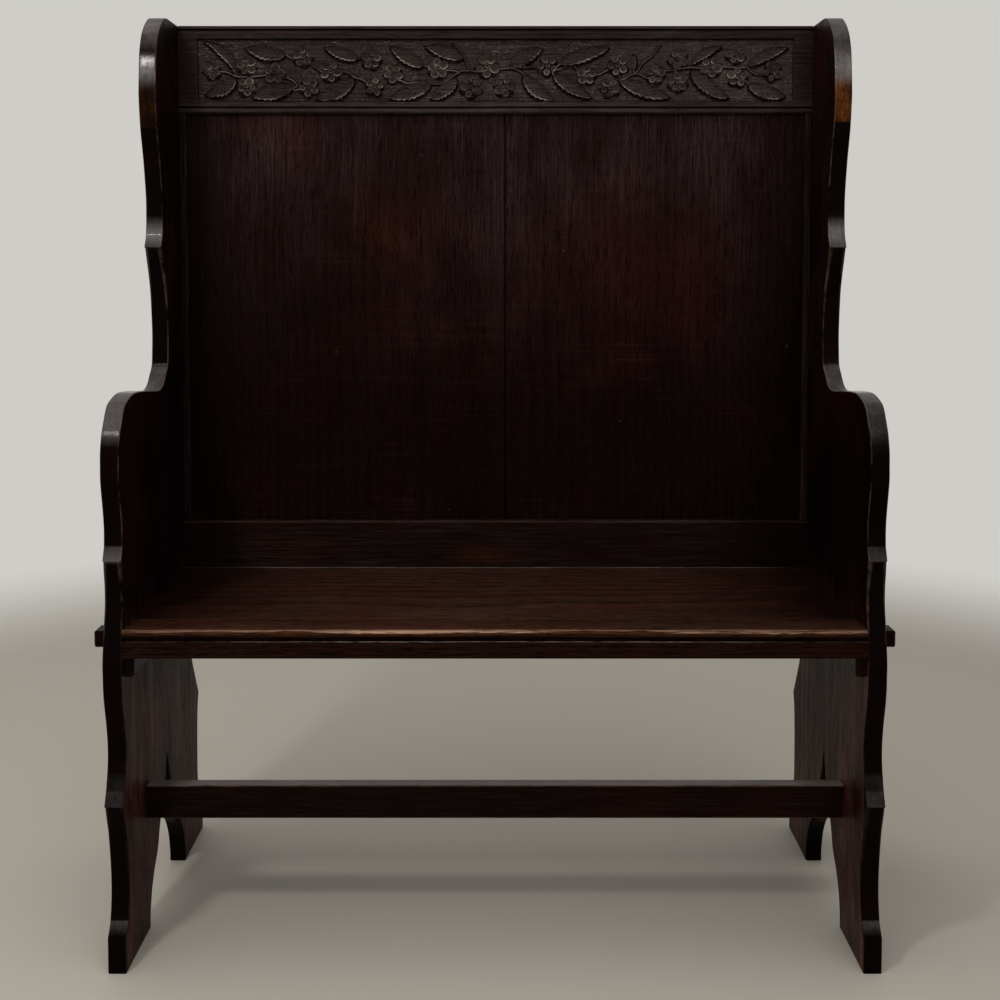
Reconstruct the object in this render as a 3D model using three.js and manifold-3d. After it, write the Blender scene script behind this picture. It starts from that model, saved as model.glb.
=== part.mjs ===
// Settle bench: two shaped plank ends carry a seat, a panelled back with a sunk frieze, and a foot stretcher.
// Millimetres, +Z up. The front faces -Y and the origin lies on the floor below the middle of the bench.
import * as THREE from 'three';
import { mergeVertices } from 'three/addons/utils/BufferGeometryUtils.js';
import Module from 'manifold-3d';

const wasm = await Module();
wasm.setup();

// Driving sizes of the whole bench
const benchWidth = 995;          // over the outer faces of the two ends
const benchHeight = 1264;
const benchDepth = 449.5;        // from the tips of the lower ledges to the back of the rear feet
const endThickness = 24;
const jointClearance = 0.3;      // left around every tenon, tongue, shoulder and screw
const cutOverrun = 2;            // how far a cut runs past the face that it opens

// Shaped outline of an end
const footLedgeHeight = 46;
const lowerLedgeHeight = 221;
const upperLedgeHeight = 536;
const armHeight = 742;
const wingLedgeHeight = 934;
const ledgeRise = 16;            // height of the bevel on top of each ledge
const footSetback = 5.5;         // front of the foot behind the front plane
const hollowDepth = 26;          // deepest hollow of the front edge below the arm
const neckSetback = 269.5;       // neck above the arm behind the front plane
const backSetback = 381;         // straight rear edge behind the front plane
const kickHeight = 365;          // where the rear edge starts to sweep back
const heelHeight = 229;          // blunt point where that sweep ends
const edgeStep = 8;              // length of one facet along a curved edge

// Pointed arch between the two feet of an end
const archHeight = 202;
const archHalfWidth = 101.5;
const archSetback = 228;         // middle of the arch behind the front plane

// Seat
const seatHeight = 447;
const seatSetback = 3;           // front of the seat behind the front plane
const frontRailHeight = 34.5;
const frontRailDepth = 60;
const nosingHeight = 12;         // rounded upper part of the rail's front
const nosingRound = 8;
const quirkHeight = 1.6;         // fine groove below the nosing
const quirkDepth = 1.4;
const frontTenonHeight = 21;
const frontTenonDepth = 27;
const frontTenonDrop = 3.5;      // top of the tenon below the seat
const frontTenonInset = 17;      // front of the tenon behind the front of the rail
const frontTenonProjection = 15; // what shows of the tenon outside the end
const frontTenonChamfer = 2;
const seatBoardThickness = 22;
const tongueThickness = 8;
const tongueLength = 8;

// Bearers below the seat
const bearerThickness = 14;
const bearerDrop = 26.5;         // bearer below the front rail
const bearerSetback = 10;        // front of the bearer behind the front of the rail
const bearerChamfer = 3;

// Rails and panels of the back
const railSetback = 349;         // front of both back rails behind the front plane
const railThickness = 30;
const topRailHeight = 130;
const lowerRailRise = 73.5;      // top of the lower back rail above the seat
const lowerRailHeight = 110;
const railTenonLength = 15;
const railTenonThickness = 14;
const railTenonMargin = 14;      // shoulder above and below a rail's tenon
const railArris = 2.5;           // softened edge of the rails
const panelSetback = 10;         // panels behind the front of the rails
const panelThickness = 12;
const panelGrooveDepth = 8;      // into the rails
const sideGrooveDepth = 6;       // into the ends
const panelJointOffset = 14;     // joint of the two panels to the right of the middle
const panelTongueThickness = 4;
const panelTongueLength = 5;
const panelJointChamfer = 1;
const filletWidth = 10.5;
const filletDepth = 8;
const filletRound = 4;

// Frieze of the top rail
const friezeSide = 28.5;         // from the end's face to the sunk field
const friezeTop = 19;
const friezeBottom = 17;
const friezeSink = 4.5;
const topLineDrop = 6.5;         // scratched line below the top edge
const bottomLineRise = 9;        // scratched line above the lower edge
const lineWidth = 2;
const lineDepth = 1.5;

// Stretcher between the ends
const stretcherTop = 204.5;
const stretcherHeight = 46;
const stretcherThickness = 20;
const stretcherSetback = 112.5;
const stretcherTenonLength = 14;
const stretcherTenonMargin = 8;
const stretcherTenonThickness = 12;
const stretcherArris = 1.5;

// Countersunk screws
const screwRadius = 1.8;
const screwHeadRadius = 3.6;
const screwHeadHeight = 2.2;
const screwPointLength = 5;
const screwSlotWidth = 1;
const screwSlotDepth = 1.1;
const sideScrewLength = 28;
const seatScrewLength = 48;
const screwSides = 16;
const sideScrewShares = [0.16, 0.5, 0.84];   // along a bearer
const seatScrewShares = [0.33, 0.74];
const sideScrewHeightShare = 0.45;           // up the lower part of a bearer

// Points of the end's edge, from the foot up: share of the stretch's rise, share of its sweep backwards
const footWaveShares = [
  [0, 0.689], [0.14, 0.899], [0.3, 0.98], [0.475, 0.872], [0.61, 0.723], [0.755, 0.516],
  [0.9, 0.189], [1, 0],
];
const kneeWaveShares = [
  [0, 0.312], [0.09, 0.644], [0.17, 0.742], [0.265, 0.61], [0.41, 0.194], [0.52, 0.102],
  [0.585, 0.13], [0.75, 0.506], [0.815, 0.623], [0.885, 0.581], [0.953, 0.437], [1, 0.383],
];
const armShares = [
  [0, 0.064], [0.1, 0.069], [0.22, 0.059], [0.435, 0.025], [0.54, 0.024], [0.65, 0.029],
  [0.76, 0.054], [0.855, 0.096], [0.905, 0.122], [0.952, 0.163], [0.99, 0.262], [1, 0.358],
  [0.984, 0.531], [0.958, 0.714], [0.955, 0.81], [0.99, 0.883],
];
const neckShares = [
  [0.065, 0.942], [0.12, 0.981], [0.25, 0.995], [0.365, 0.999], [0.5, 0.99], [0.67, 0.968],
  [0.79, 0.936], [0.91, 0.895], [1, 0.867],
];
const wingShares = [
  [0, 0.9], [0.05, 0.911], [0.12, 0.915], [0.19, 0.91], [0.335, 0.874], [0.475, 0.823],
  [0.59, 0.801], [0.65, 0.799], [0.8, 0.821], [0.875, 0.854], [0.915, 0.886], [0.955, 0.938],
  [0.99, 1.011], [1, 1.074],
];
// Rear edge from the top down: share of the stretch's rise, share of its sweep backwards
const heelShares = [
  [1, 0], [0.8, 0.01], [0.64, 0.045], [0.47, 0.137], [0.24, 0.42], [0, 0.737],
];
const rearFootShares = [
  [1, 0.737], [0.92, 0.656], [0.76, 0.588], [0.5, 0.551], [0.25, 0.544], [0.1, 0.613],
  [0, 0.747],
];
// One side of the arch from the floor up: share of its height, share of its half width
const archShares = [
  [0, 1], [0.08, 0.998], [0.22, 0.92], [0.345, 0.765], [0.405, 0.645], [0.465, 0.55],
  [0.535, 0.49], [0.605, 0.42], [0.8, 0.15], [1, 0],
];

// Planes that several pieces share
const outerFace = benchWidth / 2;
const innerFace = outerFace - endThickness;
const shoulder = innerFace - jointClearance;
const frontPlane = -benchDepth / 2;
const seatFront = frontPlane + seatSetback;
const frontRailBack = seatFront + frontRailDepth;
const frontRailBottom = seatHeight - frontRailHeight;
const seatBoardBottom = seatHeight - seatBoardThickness;
const railFront = frontPlane + railSetback;
const railBack = railFront + railThickness;
const topRailBottom = benchHeight - topRailHeight;
const lowerRailTop = seatHeight + lowerRailRise;
const lowerRailBottom = lowerRailTop - lowerRailHeight;
const panelFront = railFront + panelSetback;
const panelBack = panelFront + panelThickness;
const panelBottom = lowerRailTop - panelGrooveDepth + jointClearance;
const panelTop = topRailBottom + panelGrooveDepth - jointClearance;
const panelSide = innerFace + sideGrooveDepth - jointClearance;
const stretcherFront = frontPlane + stretcherSetback;
const stretcherBack = stretcherFront + stretcherThickness;
const stretcherBottom = stretcherTop - stretcherHeight;
const bearerInner = innerFace - jointClearance - bearerThickness;
const bearerFront = seatFront + bearerSetback;
const bearerBack = railFront - jointClearance;
const bearerBottom = frontRailBottom - bearerDrop;

const finishes = {
  stainedOak: { color: '#2a1812', roughness: 0.38, metalness: 0 },
  wornOak: { color: '#3a2219', roughness: 0.34, metalness: 0 },
  darkOak: { color: '#1f120e', roughness: 0.5, metalness: 0 },
  steel: { color: '#3b3836', roughness: 0.5, metalness: 0.9 },
};

// Turns a closed geometry into a solid that can be cut and joined
function solidOf(geometry) {
  const bare = geometry.index ? geometry.toNonIndexed() : geometry.clone();
  bare.deleteAttribute('normal');
  bare.deleteAttribute('uv');
  const merged = mergeVertices(bare);
  const vertProperties = new Float32Array(merged.attributes.position.array);
  const triVerts = new Uint32Array(merged.index.array);
  return new wasm.Manifold(new wasm.Mesh({ numProp: 3, vertProperties, triVerts }));
}

function meshOf(name, solid, finish) {
  const result = solid.getMesh();
  const geometry = new THREE.BufferGeometry();
  geometry.setAttribute('position', new THREE.BufferAttribute(new Float32Array(result.vertProperties), 3));
  geometry.setIndex(new THREE.BufferAttribute(new Uint32Array(result.triVerts), 1));
  geometry.computeVertexNormals();
  const mesh = new THREE.Mesh(geometry, new THREE.MeshStandardMaterial(finishes[finish]));
  mesh.name = name;
  return mesh;
}

function block(x0, x1, y0, y1, z0, z1) {
  const geometry = new THREE.BoxGeometry(x1 - x0, y1 - y0, z1 - z0);
  geometry.translate((x0 + x1) / 2, (y0 + y1) / 2, (z0 + z1) / 2);
  return solidOf(geometry);
}

// Extrudes an outline drawn in Y and Z along X
function alongX(outline, x0, x1, bevel = { bevelEnabled: false }) {
  const geometry = new THREE.ExtrudeGeometry(new THREE.Shape(outline), { depth: x1 - x0, ...bevel });
  const yAxis = new THREE.Vector3(0, 1, 0);
  const zAxis = new THREE.Vector3(0, 0, 1);
  const xAxis = new THREE.Vector3(1, 0, 0);
  geometry.applyMatrix4(new THREE.Matrix4().makeBasis(yAxis, zAxis, xAxis));
  geometry.translate(x0, 0, 0);
  return solidOf(geometry);
}

function mirrored(solid) {
  return solid.mirror([1, 0, 0]);
}

// Points of a smooth edge through the given places, in facets of about one edge step
function smoothEdge(places) {
  const curve = new THREE.SplineCurve(places);
  const facets = Math.max(2, Math.round(curve.getLength() / edgeStep));
  return curve.getSpacedPoints(facets);
}

function stretch(shares, bottom, top, sweep, front = frontPlane) {
  const rise = top - bottom;
  return shares.map(([up, back]) => new THREE.Vector2(front + sweep * back, bottom + rise * up));
}

function archSide(direction) {
  const middle = frontPlane + archSetback;
  const places = archShares.map(([rise, out]) => (
    new THREE.Vector2(middle + direction * archHalfWidth * out, archHeight * rise)
  ));
  return smoothEdge(places);
}

function endOutline() {
  const footFront = frontPlane + footSetback;
  const backEdge = frontPlane + backSetback;
  const rearSpread = benchDepth - backSetback;
  const footTop = footLedgeHeight + ledgeRise;
  const footWave = stretch(footWaveShares, footTop, lowerLedgeHeight, hollowDepth);
  const kneeWave = stretch(kneeWaveShares, lowerLedgeHeight + ledgeRise, upperLedgeHeight, hollowDepth);
  const arm = stretch(armShares, upperLedgeHeight + ledgeRise, armHeight, neckSetback);
  const neck = stretch(neckShares, armHeight, wingLedgeHeight, neckSetback);
  const wing = stretch(wingShares, wingLedgeHeight + ledgeRise, benchHeight, neckSetback);
  const heel = stretch(heelShares, heelHeight, kickHeight, rearSpread, backEdge);
  const rearFoot = stretch(rearFootShares, footTop, heelHeight, rearSpread, backEdge);
  return [
    new THREE.Vector2(footFront, 0),
    new THREE.Vector2(footFront, footLedgeHeight),
    ...smoothEdge(footWave),
    ...smoothEdge(kneeWave),
    ...smoothEdge([...arm, ...neck]),
    ...smoothEdge(wing),
    new THREE.Vector2(backEdge, benchHeight),
    ...smoothEdge(heel),
    ...smoothEdge(rearFoot).slice(1),
    new THREE.Vector2(benchDepth / 2, footLedgeHeight),
    new THREE.Vector2(benchDepth / 2, 0),
    ...archSide(1),
    ...archSide(-1).reverse().slice(1),
  ];
}

// Slot for a tenon or tongue: the piece's own box with the joint clearance all round
function slotFor(x0, x1, y0, y1, z0, z1) {
  const c = jointClearance;
  return block(x0 - c, x1 + c, y0 - c, y1 + c, z0 - c, z1 + c);
}

function frontTenonBox() {
  const front = seatFront + frontTenonInset;
  const top = seatHeight - frontTenonDrop;
  return [front, front + frontTenonDepth, top - frontTenonHeight, top];
}

function railTenonBox(bottom, top) {
  const front = railFront + (railThickness - railTenonThickness) / 2;
  return [front, front + railTenonThickness, bottom + railTenonMargin, top - railTenonMargin];
}

function stretcherTenonBox() {
  const front = stretcherFront + (stretcherThickness - stretcherTenonThickness) / 2;
  const margin = stretcherTenonMargin;
  return [front, front + stretcherTenonThickness, stretcherBottom + margin, stretcherTop - margin];
}

// A screw, or with a clearance its hole, pointing along +Z from its head at the origin
function screwBody(length, clearance) {
  const shank = screwRadius + clearance;
  const head = screwHeadRadius + clearance;
  const tip = length + clearance;
  const mouth = clearance > 0 ? -cutOverrun : 0;
  const profile = [
    new THREE.Vector2(0, mouth),
    new THREE.Vector2(head, mouth),
    new THREE.Vector2(head, clearance),
    new THREE.Vector2(shank, screwHeadHeight),
    new THREE.Vector2(shank, tip - screwPointLength),
    new THREE.Vector2(0, tip),
  ];
  const places = profile.filter((place, i) => i === 0 || place.distanceTo(profile[i - 1]) > 0);
  const geometry = new THREE.LatheGeometry(places, screwSides);
  geometry.rotateX(Math.PI / 2);
  return solidOf(geometry);
}

function slottedScrew(length) {
  const side = screwHeadRadius + cutOverrun;
  const slot = block(-side, side, -screwSlotWidth / 2, screwSlotWidth / 2, -cutOverrun, screwSlotDepth);
  return screwBody(length, 0).subtract(slot);
}

// Places of the screws in the right-hand bearer: those into the end, and those up into the seat board
function sideScrewPlaces() {
  const length = bearerBack - bearerFront;
  const height = bearerBottom + (seatBoardBottom - bearerBottom) * sideScrewHeightShare;
  return sideScrewShares.map((share) => [bearerInner, bearerFront + length * share, height]);
}

function seatScrewPlaces() {
  const length = bearerBack - bearerFront;
  const x = bearerInner + (bearerThickness + bearerChamfer) / 2;
  return seatScrewShares.map((share) => [x, bearerFront + length * share, bearerBottom]);
}

function intoEnd(solid, place) {
  return solid.rotate([0, 90, 0]).translate(place);
}

function intoSeat(solid, place) {
  return solid.translate(place);
}

// The right-hand end; the left-hand one is its mirror image
function rightEnd() {
  let end = alongX(endOutline(), innerFace, outerFace);
  const inside = innerFace - cutOverrun;
  const railReach = innerFace + railTenonLength - jointClearance;
  const stretcherReach = innerFace + stretcherTenonLength - jointClearance;
  end = end.subtract(slotFor(inside, outerFace + cutOverrun, ...frontTenonBox()));
  end = end.subtract(slotFor(inside, railReach, ...railTenonBox(topRailBottom, benchHeight)));
  end = end.subtract(slotFor(inside, railReach, ...railTenonBox(lowerRailBottom, lowerRailTop)));
  end = end.subtract(slotFor(inside, stretcherReach, ...stretcherTenonBox()));
  end = end.subtract(slotFor(inside, panelSide, panelFront, panelBack, lowerRailTop, topRailBottom));
  for (const place of sideScrewPlaces()) {
    end = end.subtract(intoEnd(screwBody(sideScrewLength, jointClearance), place));
  }
  return end;
}

function frontRailOutline() {
  const nosing = new THREE.EllipseCurve(
    seatFront + nosingRound, seatHeight - nosingRound, nosingRound, nosingRound, Math.PI / 2, Math.PI,
  );
  const quirkTop = seatHeight - nosingHeight;
  const quirkBottom = quirkTop - quirkHeight;
  return [
    new THREE.Vector2(frontRailBack, frontRailBottom),
    new THREE.Vector2(frontRailBack, seatHeight),
    ...nosing.getPoints(6),
    new THREE.Vector2(seatFront, quirkTop),
    new THREE.Vector2(seatFront + quirkDepth, quirkTop),
    new THREE.Vector2(seatFront, quirkBottom),
    new THREE.Vector2(seatFront, frontRailBottom),
  ];
}

// Tenon that goes through the right-hand end and shows outside it with a chamfered head
function frontTenon() {
  const [front, back, bottom, top] = frontTenonBox();
  const tip = outerFace + frontTenonProjection;
  const c = frontTenonChamfer;
  const outline = [
    new THREE.Vector2(front, bottom),
    new THREE.Vector2(back, bottom),
    new THREE.Vector2(back, top),
    new THREE.Vector2(front, top),
  ];
  const bevel = { bevelEnabled: true, bevelThickness: c, bevelSize: c, bevelOffset: -c, bevelSegments: 1 };
  return alongX(outline, shoulder - cutOverrun, tip - c, bevel);
}

function seatFrontRail() {
  const middle = seatHeight - seatBoardThickness / 2;
  const half = tongueThickness / 2;
  const groove = slotFor(
    -innerFace - cutOverrun, innerFace + cutOverrun,
    frontRailBack - tongueLength, frontRailBack + cutOverrun,
    middle - half, middle + half,
  );
  const tenon = frontTenon();
  return alongX(frontRailOutline(), -shoulder, shoulder).subtract(groove).add(tenon).add(mirrored(tenon));
}

function seatBoard() {
  const c = jointClearance;
  const middle = seatHeight - seatBoardThickness / 2;
  const half = tongueThickness / 2;
  let board = block(-shoulder, shoulder, frontRailBack + c, railFront - c, seatBoardBottom, seatHeight);
  board = board.add(block(
    -shoulder, shoulder,
    frontRailBack - tongueLength, railFront + tongueLength,
    middle - half, middle + half,
  ));
  for (const place of seatScrewPlaces()) {
    const hole = intoSeat(screwBody(seatScrewLength, c), place);
    board = board.subtract(hole).subtract(mirrored(hole));
  }
  return board;
}

function rightBearer() {
  const c = jointClearance;
  const outer = innerFace - c;
  const low = block(bearerInner, outer, bearerFront, bearerBack, bearerBottom, frontRailBottom - c);
  const high = block(bearerInner, outer, frontRailBack + c, bearerBack, bearerBottom, seatBoardBottom - c);
  const side = bearerChamfer * Math.SQRT2;
  const corner = new THREE.BoxGeometry(side, bearerBack - bearerFront + 2 * cutOverrun, side);
  corner.rotateY(Math.PI / 4);
  corner.translate(bearerInner, (bearerFront + bearerBack) / 2, bearerBottom);
  let bearer = low.add(high).subtract(solidOf(corner));
  for (const place of sideScrewPlaces()) {
    bearer = bearer.subtract(intoEnd(screwBody(sideScrewLength, c), place));
  }
  for (const place of seatScrewPlaces()) {
    bearer = bearer.subtract(intoSeat(screwBody(seatScrewLength, c), place));
  }
  return bearer;
}

// Rectangular rail section with softened front edges
function railOutline(front, back, bottom, top, arris) {
  return [
    new THREE.Vector2(back, bottom),
    new THREE.Vector2(back, top),
    new THREE.Vector2(front + arris, top),
    new THREE.Vector2(front, top - arris),
    new THREE.Vector2(front, bottom + arris),
    new THREE.Vector2(front + arris, bottom),
  ];
}

function railWithTenons(outline, tenonLength, tenonBox) {
  const reach = innerFace + tenonLength - jointClearance;
  return alongX(outline, -shoulder, shoulder).add(block(-reach, reach, ...tenonBox));
}

// Scratched V line along the whole front of the top rail
function scratchedLine(height) {
  const outline = [
    new THREE.Vector2(railFront - cutOverrun, height - lineWidth / 2),
    new THREE.Vector2(railFront, height - lineWidth / 2),
    new THREE.Vector2(railFront + lineDepth, height),
    new THREE.Vector2(railFront, height + lineWidth / 2),
    new THREE.Vector2(railFront - cutOverrun, height + lineWidth / 2),
  ];
  return alongX(outline, -innerFace, innerFace);
}

function topRail() {
  const outline = railOutline(railFront, railBack, topRailBottom, benchHeight, railArris);
  const fieldSide = innerFace - friezeSide;
  const field = block(
    -fieldSide, fieldSide,
    railFront - cutOverrun, railFront + friezeSink,
    topRailBottom + friezeBottom, benchHeight - friezeTop,
  );
  const groove = slotFor(
    -innerFace, innerFace,
    panelFront, panelBack,
    topRailBottom - cutOverrun, topRailBottom + panelGrooveDepth - jointClearance,
  );
  return railWithTenons(outline, railTenonLength, railTenonBox(topRailBottom, benchHeight))
    .subtract(field)
    .subtract(groove)
    .subtract(scratchedLine(benchHeight - topLineDrop))
    .subtract(scratchedLine(topRailBottom + bottomLineRise));
}

function lowerRail() {
  const outline = railOutline(railFront, railBack, lowerRailBottom, lowerRailTop, railArris);
  const middle = seatHeight - seatBoardThickness / 2;
  const half = tongueThickness / 2;
  const seatGroove = slotFor(
    -innerFace, innerFace, railFront - cutOverrun, railFront + tongueLength, middle - half, middle + half,
  );
  const panelGroove = slotFor(
    -innerFace, innerFace,
    panelFront, panelBack,
    lowerRailTop - panelGrooveDepth + jointClearance, lowerRailTop + cutOverrun,
  );
  return railWithTenons(outline, railTenonLength, railTenonBox(lowerRailBottom, lowerRailTop))
    .subtract(seatGroove)
    .subtract(panelGroove);
}

// A panel's plan, drawn in X and Y; its side edge is full only between the rails, where the ends are grooved
function panelSolid(plan) {
  const geometry = new THREE.ExtrudeGeometry(new THREE.Shape(plan), {
    depth: panelTop - panelBottom,
    bevelEnabled: false,
  });
  geometry.translate(0, 0, panelBottom);
  const solid = solidOf(geometry);
  const upper = block(-outerFace, outerFace, panelFront, panelBack, topRailBottom, panelTop + cutOverrun);
  const lower = block(-outerFace, outerFace, panelFront, panelBack, panelBottom - cutOverrun, lowerRailTop);
  const middle = block(-shoulder, shoulder, panelFront, panelBack, panelBottom, panelTop);
  return solid.subtract(upper.add(lower).subtract(middle));
}

function leftPanel() {
  const joint = panelJointOffset - jointClearance / 2;
  const middle = (panelFront + panelBack) / 2;
  const half = panelTongueThickness / 2;
  return panelSolid([
    new THREE.Vector2(-panelSide, panelFront),
    new THREE.Vector2(joint - panelJointChamfer, panelFront),
    new THREE.Vector2(joint, panelFront + panelJointChamfer),
    new THREE.Vector2(joint, middle - half),
    new THREE.Vector2(joint + panelTongueLength, middle - half),
    new THREE.Vector2(joint + panelTongueLength, middle + half),
    new THREE.Vector2(joint, middle + half),
    new THREE.Vector2(joint, panelBack),
    new THREE.Vector2(-panelSide, panelBack),
  ]);
}

function rightPanel() {
  const joint = panelJointOffset + jointClearance / 2;
  const grooveEnd = joint + panelTongueLength + jointClearance;
  const middle = (panelFront + panelBack) / 2;
  const half = panelTongueThickness / 2 + jointClearance;
  return panelSolid([
    new THREE.Vector2(panelSide, panelFront),
    new THREE.Vector2(panelSide, panelBack),
    new THREE.Vector2(joint, panelBack),
    new THREE.Vector2(joint, middle + half),
    new THREE.Vector2(grooveEnd, middle + half),
    new THREE.Vector2(grooveEnd, middle - half),
    new THREE.Vector2(joint, middle - half),
    new THREE.Vector2(joint, panelFront + panelJointChamfer),
    new THREE.Vector2(joint + panelJointChamfer, panelFront),
  ]);
}

// Strip in the corner between a panel and the right-hand end, rounded towards the sitter
function rightFillet() {
  const c = jointClearance;
  const outer = innerFace - c;
  const inner = outer - filletWidth;
  const back = panelFront - c;
  const front = back - filletDepth;
  const round = new THREE.EllipseCurve(
    inner + filletRound, front + filletRound, filletRound, filletRound, Math.PI, 1.5 * Math.PI,
  );
  const plan = [
    new THREE.Vector2(inner, back),
    ...round.getPoints(5),
    new THREE.Vector2(outer, front),
    new THREE.Vector2(outer, back),
  ];
  const height = topRailBottom - lowerRailTop - 2 * c;
  const geometry = new THREE.ExtrudeGeometry(new THREE.Shape(plan), { depth: height, bevelEnabled: false });
  geometry.translate(0, 0, lowerRailTop + c);
  return solidOf(geometry);
}

function stretcher() {
  const outline = railOutline(stretcherFront, stretcherBack, stretcherBottom, stretcherTop, stretcherArris);
  return railWithTenons(outline, stretcherTenonLength, stretcherTenonBox());
}

const bench = new THREE.Group();

function add(name, solid, finish) {
  bench.add(meshOf(name, solid, finish));
}

function addPair(name, solid, finish) {
  add(`right_${name}`, solid, finish);
  add(`left_${name}`, mirrored(solid), finish);
}

addPair('end', rightEnd(), 'stainedOak');
add('seat_front_rail', seatFrontRail(), 'wornOak');
add('seat_board', seatBoard(), 'wornOak');
addPair('seat_bearer', rightBearer(), 'darkOak');
add('top_rail', topRail(), 'stainedOak');
add('lower_back_rail', lowerRail(), 'stainedOak');
add('left_back_panel', leftPanel(), 'stainedOak');
add('right_back_panel', rightPanel(), 'stainedOak');
addPair('back_fillet', rightFillet(), 'stainedOak');
add('stretcher', stretcher(), 'stainedOak');
sideScrewPlaces().forEach((place, i) => {
  addPair(`bearer_screw_${i + 1}`, intoEnd(slottedScrew(sideScrewLength), place), 'steel');
});
seatScrewPlaces().forEach((place, i) => {
  addPair(`seat_screw_${i + 1}`, intoSeat(slottedScrew(seatScrewLength), place), 'steel');
});

export default bench;
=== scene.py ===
import bpy
import bmesh
import math
import numpy as np
from functools import partial
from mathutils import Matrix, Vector, kdtree, noise
from mathutils.geometry import tessellate_polygon


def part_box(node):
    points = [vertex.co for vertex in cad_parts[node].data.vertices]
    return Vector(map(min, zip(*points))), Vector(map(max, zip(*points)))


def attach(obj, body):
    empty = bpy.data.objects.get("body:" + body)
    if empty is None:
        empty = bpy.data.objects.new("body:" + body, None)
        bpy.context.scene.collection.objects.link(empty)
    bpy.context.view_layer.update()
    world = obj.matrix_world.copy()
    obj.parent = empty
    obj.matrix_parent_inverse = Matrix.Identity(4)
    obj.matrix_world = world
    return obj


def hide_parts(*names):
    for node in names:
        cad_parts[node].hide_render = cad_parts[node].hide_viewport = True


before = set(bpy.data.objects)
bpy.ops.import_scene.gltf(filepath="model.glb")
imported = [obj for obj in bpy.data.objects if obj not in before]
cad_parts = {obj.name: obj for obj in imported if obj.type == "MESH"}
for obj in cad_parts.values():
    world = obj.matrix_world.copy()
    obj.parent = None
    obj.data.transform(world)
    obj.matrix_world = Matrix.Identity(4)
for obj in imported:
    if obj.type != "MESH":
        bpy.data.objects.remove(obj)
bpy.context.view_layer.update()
print("frame loaded:", len(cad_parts), "nodes")

mm = 0.001


def linear(hexColour):
    channels = [int(hexColour[i:i + 2], 16) / 255 for i in (1, 3, 5)]
    return tuple(c / 12.92 if c <= 0.04045 else ((c + 0.055) / 1.055) ** 2.4 for c in channels) + (1.0,)


# a node given as an input stands for its first output; kinds are shader nodes unless they say otherwise
def addNode(tree, kind, inputs={}, **settings):
    node = tree.nodes.new(kind if "Node" in kind else "ShaderNode" + kind)
    for key, value in settings.items():
        setattr(node, key, value)
    for key, value in inputs.items():
        if isinstance(value, bpy.types.Node):
            value = value.outputs[0]
        if isinstance(value, bpy.types.NodeSocket):
            tree.links.new(value, node.inputs[key])
        else:
            node.inputs[key].default_value = value
    return node


def addObject(name, data):
    made = bpy.data.objects.new(name, data)
    bpy.context.scene.collection.objects.link(made)
    return made


def emptyMaterial(name):
    material = bpy.data.materials.new(name)
    material.use_nodes = True
    material.node_tree.nodes.clear()
    return material, partial(addNode, material.node_tree)


# camera: as high as the back, nearly level, a little to the right of the middle, as in the photo
view = {"x": 6.5 * mm, "y": -1.8914, "height": 0.9213, "tilt": 3.3,
        "lens": 48.22, "film": 36, "shift": -0.1665}
lens = bpy.data.cameras.new("camera")
lens.sensor_width = view["film"]
lens.lens = view["lens"]
lens.shift_y = view["shift"]
camera = addObject("camera", lens)
camera.location = (view["x"], view["y"], view["height"])
camera.rotation_euler = (math.radians(90 - view["tilt"]), 0, 0)
bpy.context.scene.camera = camera
bpy.context.scene.view_settings.view_transform = "Standard"
print("camera placed")


# studio: pale floor that fades into the backdrop colour, one wide lamp overhead, a small key lamp at the
# upper left that glints on the polished rims, and a weak fill from the front
studio = {
    "backdrop": "#cfcdc8", "floor": "#bfb7aa", "ambient": 0.34,
    "floorRadius": 2.7, "floorCorners": 96, "fadeFrom": 1.5, "fadeTo": 2.5,
    "lamps": {  # watts, size, place, what it is aimed at
        "overhead": (28, (2.6, 1.7), (-0.2, -0.3, 2.55), (0, -0.1, 0.4)),
        "key": (10, (0.2, 0.2), (-0.89, -1.37, 1.9), (-0.3, 0, 0.8)),
        "fill": (6, (1.6, 1.6), (0.9, -2.4, 1.9), (0, 0, 0.6)),
    },
}


def paintWorld():
    world = bpy.data.worlds.new("studio")
    bpy.context.scene.world = world
    world.use_nodes = True
    world.node_tree.nodes.clear()
    add = partial(addNode, world.node_tree)
    rays = add("LightPath").outputs
    seen = add("Math", {0: rays["Is Camera Ray"], 1: rays["Is Glossy Ray"]}, operation="MAXIMUM")
    seen = add("Math", {0: seen, 1: rays["Is Transmission Ray"]}, operation="MAXIMUM")
    shown = add("Background", {"Color": linear(studio["backdrop"]), "Strength": 1.0})
    ambient = add("Background", {"Color": (1, 1, 1, 1), "Strength": studio["ambient"]})
    mixed = add("MixShader", {0: seen, 1: ambient, 2: shown})
    add("OutputWorld", {"Surface": mixed})


def layFloor():
    count = studio["floorCorners"]
    ring = [(studio["floorRadius"] * math.cos(a), studio["floorRadius"] * math.sin(a), 0)
            for a in np.linspace(0, 2 * math.pi, count, endpoint=False)]
    mesh = bpy.data.meshes.new("floor")
    mesh.from_pydata(ring, [], [list(range(count))])
    material, add = emptyMaterial("painted screed floor")  # matt and even
    where = add("TexCoord")
    distance = add("VectorMath", {0: where.outputs["Object"]}, operation="LENGTH")
    fade = add("MapRange", {
        "Value": distance.outputs["Value"], "From Min": studio["fadeFrom"], "From Max": studio["fadeTo"],
    }, interpolation_type="SMOOTHSTEP")
    body = add("BsdfPrincipled", {
        "Base Color": linear(studio["floor"]), "Roughness": 0.6, "Specular IOR Level": 0.25})
    clear = add("BsdfTransparent")
    mixed = add("MixShader", {0: fade, 1: body, 2: clear})
    add("OutputMaterial", {"Surface": mixed})
    mesh.materials.append(material)
    floor = addObject("floor", mesh)


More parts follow.
